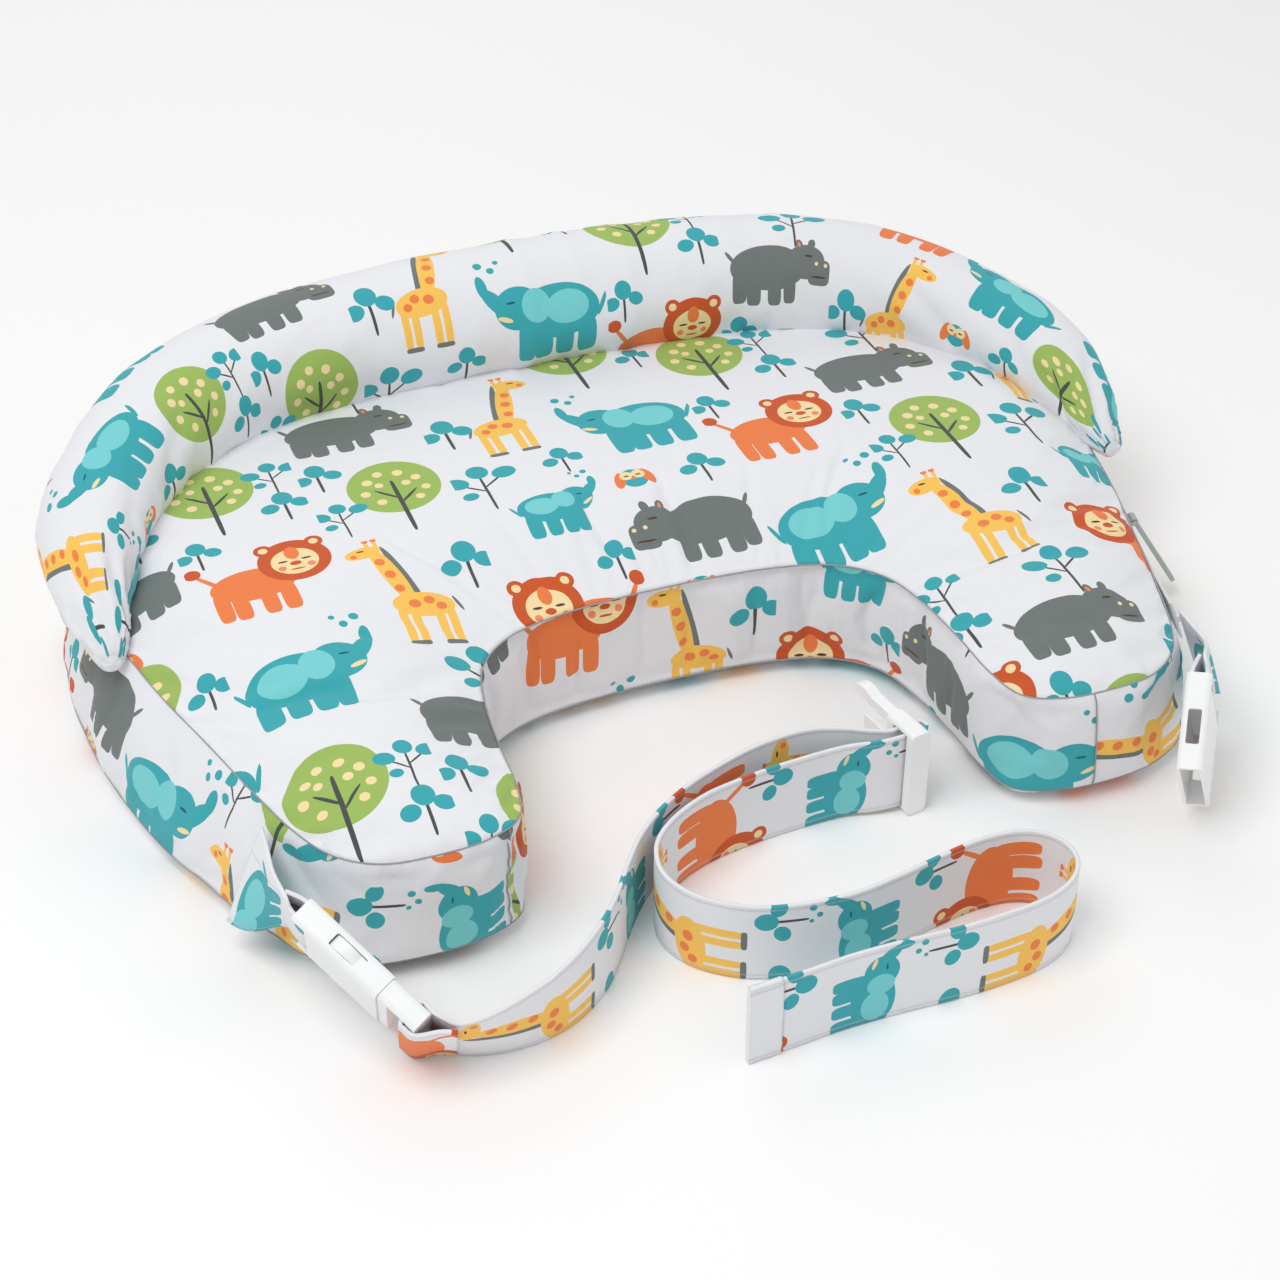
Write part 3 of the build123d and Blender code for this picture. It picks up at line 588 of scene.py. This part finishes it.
seam_curve = bpy.data.curves.new("cushion_seams", "CURVE")
seam_curve.dimensions, seam_curve.bevel_depth, seam_curve.bevel_resolution = "3D", 0.00045, 1
for path, closed in [(upper_seam, True), (lower_seam, True)] + [(p, False) for p in upright_seams]:
    spline = seam_curve.splines.new("POLY")
    spline.points.add(len(path) - 1)
    spline.points.foreach_set("co", np.hstack([path, np.ones((len(path), 1))]).ravel())
    spline.use_cyclic_u = closed
# The seam bead is a ridge along each seam. Its dark grey is painted shade, standing in for the shadow in the
# seam crease.
seam_shade_cloth = cotton("seam crease painted shade", with_print=False, shade=(158, 158, 164))
seam_curve.materials.append(seam_shade_cloth)
seams = bpy.data.objects.new("cushion_seams", seam_curve)
scene.collection.objects.link(seams)
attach(seams, "cushion")
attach(cushion, "cushion")
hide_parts("bottom_panel", "inner_pillow", "inner_band", "end_band_left", "end_band_right",
            "outer_band_left", "outer_band_right", "roll_seat", "top_panel")

# --- Back roll: a crescent tube, pinched at both tips, that sits in the valley of the top panel --------
# Each station: x, y, radius and the height of its centre.
roll_half = [(303, -22, 6, 79), (302, -4, 14, 86), (298, 24, 22, 95), (291, 62, 29, 103), (269, 106, 33, 109),
             (232, 150, 38, 114), (176, 181, 41, 117), (95, 194, 42.5, 118), (0, 196, 43, 118)]
roll_line = [(-x, y, r, z) for x, y, r, z in roll_half] + roll_half[-2::-1]
line, _ = smooth_line(roll_line)
n_roll, n_round = 190, 44
stations = spaced(line, n_roll)
bm = bmesh.new()
up = bm.loops.layers.uv.new("print")
rings, angles = [], np.linspace(0, 2 * pi, n_round, endpoint=False)
for s in range(n_roll + 1):
    x, y, radius, z = stations[s]
    ahead, behind = stations[min(s + 1, n_roll)], stations[max(s - 1, 0)]
    way = Vector((ahead[0] - behind[0], ahead[1] - behind[1], 0)).normalized()
    out = Vector((-way.y, way.x, 0))
    made = []
    for a in angles:
        place = Vector((x, y, z)) + out * radius * cos(a) + Vector((0, 0, 1)) * radius * sin(a)
        place.z = max(place.z, 77.0 - 2.3 * max(0, abs(place.x) - 294) * (y < 70))
        made.append(bm.verts.new(place / 1000))
    rings.append(made)
run = np.r_[0, np.cumsum(np.linalg.norm(np.diff(stations[:, :2], axis=0), axis=1))] / 1000
for s in range(n_roll):
    for k in range(n_round):
        e = (k + 1) % n_round
        quad = [rings[s][k], rings[s + 1][k], rings[s + 1][e], rings[s][e]]
        low, high = -angles[k] * 0.042, -(angles[k] + 2 * pi / n_round) * 0.042
        face(quad, [(run[s], low), (run[s + 1], low), (run[s + 1], high), (run[s], high)])
for end in (rings[0], rings[-1]):
    bm.faces.new(end)
bmesh.ops.recalc_face_normals(bm, faces=bm.faces)
roll_mesh = bpy.data.meshes.new("back_roll")
bm.to_mesh(roll_mesh)
bm.free()
roll = bpy.data.objects.new("back_roll", roll_mesh)
scene.collection.objects.link(roll)
roll_mesh.materials.append(cover_cloth)
places = np.array([v.co for v in roll_mesh.vertices])
swell(roll, 4, 0.03, (places[:, 2] < 0.0785) | (places[:, 1] < -0.018), 0.008)
refine(roll)
co = np.array([v.co for v in roll.data.vertices])
normals = np.array([v.normal for v in roll.data.vertices])
gaps = np.linalg.norm(co[:, None, :2] - stations[None, :, :2] / 1000, axis=2)
at_run = run[gaps.argmin(1)]
tip = np.exp(-np.minimum(at_run, run[-1] - at_run) / 0.05)
shape = ripples(at_run, co[:, 2] - 0.12, (0.034, 0.057, 0.09), 12) * 0.0016 * (1 - tip)
shape += ripples(np.arctan2(normals[:, 2], normals[:, 0]) * 0.03, at_run, (0.012, 0.02), 2) * 0.0018 * tip
roll.data.vertices.foreach_set("co", (co + normals * (shape * (co[:, 2] > 0.08))[:, None]).ravel())
roll.data.update()
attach(roll, "cushion")
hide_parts("bolster_cover", "bolster_filling")

# --- Belt: one printed strip on edge, with its looped start and its turn round the right plug ---------
# The floor line repeats the CAD route: the lower edge's x and y, its lift, and how far the strip leans.
left_origin, right_plug_origin = Vector((-228, -273.5, 35.5)), Vector((84, -179, 27.5))
left_out, left_thick = Vector((0.497, -0.761, -0.417)), Vector((0.859, 0.362, 0.361))
leaning = left_out.cross(left_thick).normalized()
plug_out, plug_thick = Vector((0.16, -0.987, 0)), Vector((0.987, 0.16, 0))
loop_side, middle_bar, near, far_side = 7.4, 12.6, 9.0, 16.2
strap_width, strap_thick, strap_turn = 48, 2.4, 3.6
loop_points = [(39, 8.2), (33, 3), (27.5, -4.5), (24.1, -loop_side), (18.9, -loop_side - 0.2),
               (far_side, 1 - loop_side), (far_side, loop_side - 1), (18.9, loop_side + 0.2),
               (24.1, loop_side), (30, 8.8)]
belt_floor = [
    (-197, -286, 0, 0.85), (-184, -291, 0, 0.7), (-169, -293, 0, 0.5), (-151, -291, 0, 0.3),
    (-134, -284, 0, 0.12), (-117, -271, 0, 0), (-103, -254, 0, 0), (-91, -236, 0, 0), (-78, -219, 0, 0),
    (-62, -204, 0, 0), (-42, -191, 0, 0), (-20, -181, 0, 0), (0, -174, 0, 0), (20, -170, 0, 0),
    (39, -170, 0, 0), (55, -176.5, 1, 0), (67, -184.5, 2, 0),
]
belt_back = [
    (66, -195, 2, 0), (50, -191, 1, 0), (24, -191, 0, 0), (-5, -194, 0, 0), (-33, -200, 0, 0),
    (-54, -210, 0, 0), (-69, -223, 0, 0), (-76, -237, 0, 0), (-77, -252, 0, 0), (-71, -267, 0, 0),
    (-60, -279, 0, 0), (-44, -289, 0, 0), (-22, -295, 0, 0), (5, -297, 0, 0), (32, -293, 0, 0),
    (58, -287, 0, 0), (82, -283, 0, 0), (102, -284, 0, 0), (115, -291, 0, 0), (121, -303, 0, 0),
    (119, -316, 0, 0), (109, -327, 0, 0), (92, -334, 0, 0), (70, -337, 0, 0), (44, -338, 0, 0),
    (14, -337, 0, 0), (-14, -337, 0, 0), (-38, -339, 0, 0), (-52, -340, 0, 0),
]


def standing(x, y, lift_up, lean):
    """Strip centre and lean for a lower edge at (x, y)."""
    wide = Vector((0, 0, 1)).lerp(leaning, lean).normalized()
    return (*(Vector((x, y, 0.5 + lift_up)) + wide * strap_width / 2), lean)


turn = [(near, -9), (near, 0), (near, 7)]
turn += [(middle_bar - strap_turn * cos(radians(a)), 7 + strap_turn * sin(radians(a)))
         for a in (30, 60, 90, 120, 150)]
turn += [(far_side, 7), (far_side, 0), (far_side, -9)]
belt_line = [(*(left_origin + left_out * z + left_thick * x), 1) for z, x in loop_points]
belt_line += [standing(*place) for place in belt_floor]
belt_line += [(*(right_plug_origin + plug_out * z + plug_thick * x), 0) for z, x in turn]
belt_line += [standing(*place) for place in belt_back]


def strip(name, centres, wides, widths, thick, material, cloth_at=(0.0, 0.0)):
    """Strip of cloth on edge along centres, in mm, with padded middle, thin stitched edges and rounded rims."""
    outline = [(-0.5, 0), (-0.492, 0.5), (-0.455, 0.36), (-0.4, 0.46), (-0.3, 0.52), (0, 0.56), (0.3, 0.52),
               (0.4, 0.46), (0.455, 0.36), (0.492, 0.5), (0.5, 0)]
    outline += [(w, -t) for w, t in outline[-2:0:-1]]
    bm = bmesh.new()
    cloth_map, edge_map = bm.loops.layers.uv.new("print"), bm.loops.layers.uv.new("edge")
    rings, runs, run = [], [], 0.0
    for i, centre in enumerate(centres):
        before, after = centres[max(i - 1, 0)], centres[min(i + 1, len(centres) - 1)]
        wide = wides[i].normalized()
        way = (after - before).normalized()
        out = way.cross(wide).normalized()
        run += (centre - before).length if i else 0
        runs.append(run / 1000)
        rings.append([bm.verts.new((centre + wide * w * widths[i] + out * t * thick) / 1000)
                      for w, t in outline])
    count = len(outline)
    for i in range(len(centres) - 1):
        for k in range(count):
            e = (k + 1) % count
            made = bm.faces.new([rings[i][k], rings[i + 1][k], rings[i + 1][e], rings[i][e]])
            made.smooth = True
            w0, w1 = (outline[k][0] + 0.5) * widths[i] / 1000, (outline[e][0] + 0.5) * widths[i] / 1000
            for loop, (along_at, over_at) in zip(made.loops, [(runs[i], w0), (runs[i + 1], w0),
                                                             (runs[i + 1], w1), (runs[i], w1)]):
                loop[cloth_map].uv = (over_at + cloth_at[0], -along_at + cloth_at[1])
                loop[edge_map].uv = (along_at, over_at)
    for end in (rings[0], rings[-1]):
        bm.faces.new(end)
    bmesh.ops.recalc_face_normals(bm, faces=bm.faces)
    mesh = bpy.data.meshes.new(name)
    bm.to_mesh(mesh)
    bm.free()
    made = bpy.data.objects.new(name, mesh)
    scene.collection.objects.link(made)
    mesh.materials.append(material)
    return made, runs[-1]


line, _ = smooth_line(belt_line, dense=8)
points = spaced(line, 620)
centres = [Vector(p[:3]) for p in points]
wides = [Vector((0, 0, 1)).lerp(leaning, min(max(p[3], 0), 1)) for p in points]
widths = [strap_width + 0.5 * noise.noise(c / 22) for c in centres]
belt_cloth = cotton("belt cotton", stitched=0.048)
belt, belt_length = strip("belt_strip", centres, wides, widths, strap_thick, belt_cloth, (0.03, 0.06))
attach(belt, "belt")
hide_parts("belt_strap")

hem_way = (centres[-1] - centres[-4]).normalized()
hem_cloth = cotton("hem cotton", with_print=False, stitched=0.048)
hem_centres = [centres[-1] + hem_way * (0.3 + 17.7 * i / 12) for i in range(13)]
hem, _ = strip("belt_hem", hem_centres, [Vector((0, 0, 1))] * 13, [48.6] * 13, 4, hem_cloth)
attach(hem, "belt")
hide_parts("belt_end_hem")

# --- Strap tabs: printed wings from the flank seams, folded round the sockets' bars --------------------
# Each wing goes from its root in the outer seam to the bar, round it, and a little way back.
for side, origin, out, thick in (
    (-1, left_origin, left_out, left_thick),
    (1, Vector((216, -268.5, 31)), Vector((-0.471, -0.717, -0.514)), Vector((0.781, -0.609, 0.139))),
):
    wide = out.cross(thick)
    wide = (wide if wide.z > 0 else -wide).normalized()
    root = Vector((side * 271, -172, 44))
    flank_up = Vector((-side * 26, 0, 64)).normalized()
    bar = origin + out * -52.8
    route = [root, Vector((side * 269.5, -186, 46)), Vector((side * 267, -200, 49)),
             bar - out * 13 + thick * 2 * side, bar - out * 6 + thick * 3.6 * side]
    route += [bar + out * 4.2 * sin(radians(a)) + thick * side * 4.2 * cos(radians(a))
              for a in (20, 60, 100, 150, 180)]
    route += [bar - out * 6 - thick * 3.8 * side, bar - out * 14 - thick * 1 * side]
    leans = [0, 0.2, 0.5, 0.9, 1, 1, 1, 1, 1, 1, 1, 1]
    sizes = [60, 57, 54, 49, 48, 48, 48, 48, 48, 48, 48, 48]
    rough = [(*p, lean, size) for p, lean, size in zip(route, leans, sizes)]
    points = spaced(smooth_line(rough, dense=10)[0], 70)
    name = "left_tab" if side < 0 else "right_tab"
    tab, _ = strip(name, [Vector(p[:3]) for p in points],
                   [flank_up.lerp(wide, min(max(p[3], 0), 1)) for p in points], [p[4] for p in points], 2.2,
                   belt_cloth, (0.11, 0.21))
    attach(tab, "cushion")
    word = "left" if side < 0 else "right"
    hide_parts(f"{word}_strap_tab", f"{word}_tab_loop")

# --- Buckles, snap cap and zip: CAD pieces with softened edges and moulded or woven finishes -----------
# White acetal with a faint grain, soft grey rubber for the slider and pull, and nylon for the zip.
def moulded(name, shade, roughness, grain, soft=0.0):
    """Plastic with fine grain in its bump and roughness."""
    material = bpy.data.materials.new(name)
    material.use_nodes = True
    tree = material.node_tree
    surface = tree.nodes["Principled BSDF"]
    speck = tree.nodes.new("ShaderNodeTexNoise")
    speck.inputs["Scale"].default_value = grain
    tree.links.new(tree.nodes.new("ShaderNodeTexCoord").outputs["Object"], speck.inputs["Vector"])
    bump = tree.nodes.new("ShaderNodeBump")
    bump.inputs["Strength"].default_value, bump.inputs["Distance"].default_value = 0.3, 0.0001
    tree.links.new(speck.outputs["Fac"], bump.inputs["Height"])
    tree.links.new(bump.outputs[0], surface.inputs["Normal"])
    uneven = math(tree, "MULTIPLY_ADD", speck.outputs["Fac"], 0.12, roughness)
    tree.links.new(uneven, surface.inputs["Roughness"])
    surface.inputs["Base Color"].default_value = (*linear(*shade), 1)
    surface.inputs["Subsurface Weight"].default_value = soft
    return material


white_plastic = moulded("white plastic", (246, 246, 246), 0.32, 900, 0.05)
grey_plastic = moulded("grey rubber", (176, 184, 182), 0.5, 1200)
zip_nylon = moulded("zip nylon", (226, 228, 228), 0.45, 1500)
finishes = {"white_plastic": white_plastic, "zip_tape": zip_nylon, "zip_plastic": zip_nylon,
            "grey_plastic": grey_plastic}
slots_of = {s["node"]: s["material_slot"] for s in frame["record"]["subparts"]}
for name, node in frame["nodes"].items():
    if slots_of[name] in finishes:
        node.data.materials.clear()
        node.data.materials.append(finishes[slots_of[name]])
        if slots_of[name] == "white_plastic":
            rim = node.modifiers.new("soft edges", "BEVEL")
            rim.width, rim.segments, rim.angle_limit = 0.0006, 2, radians(40)
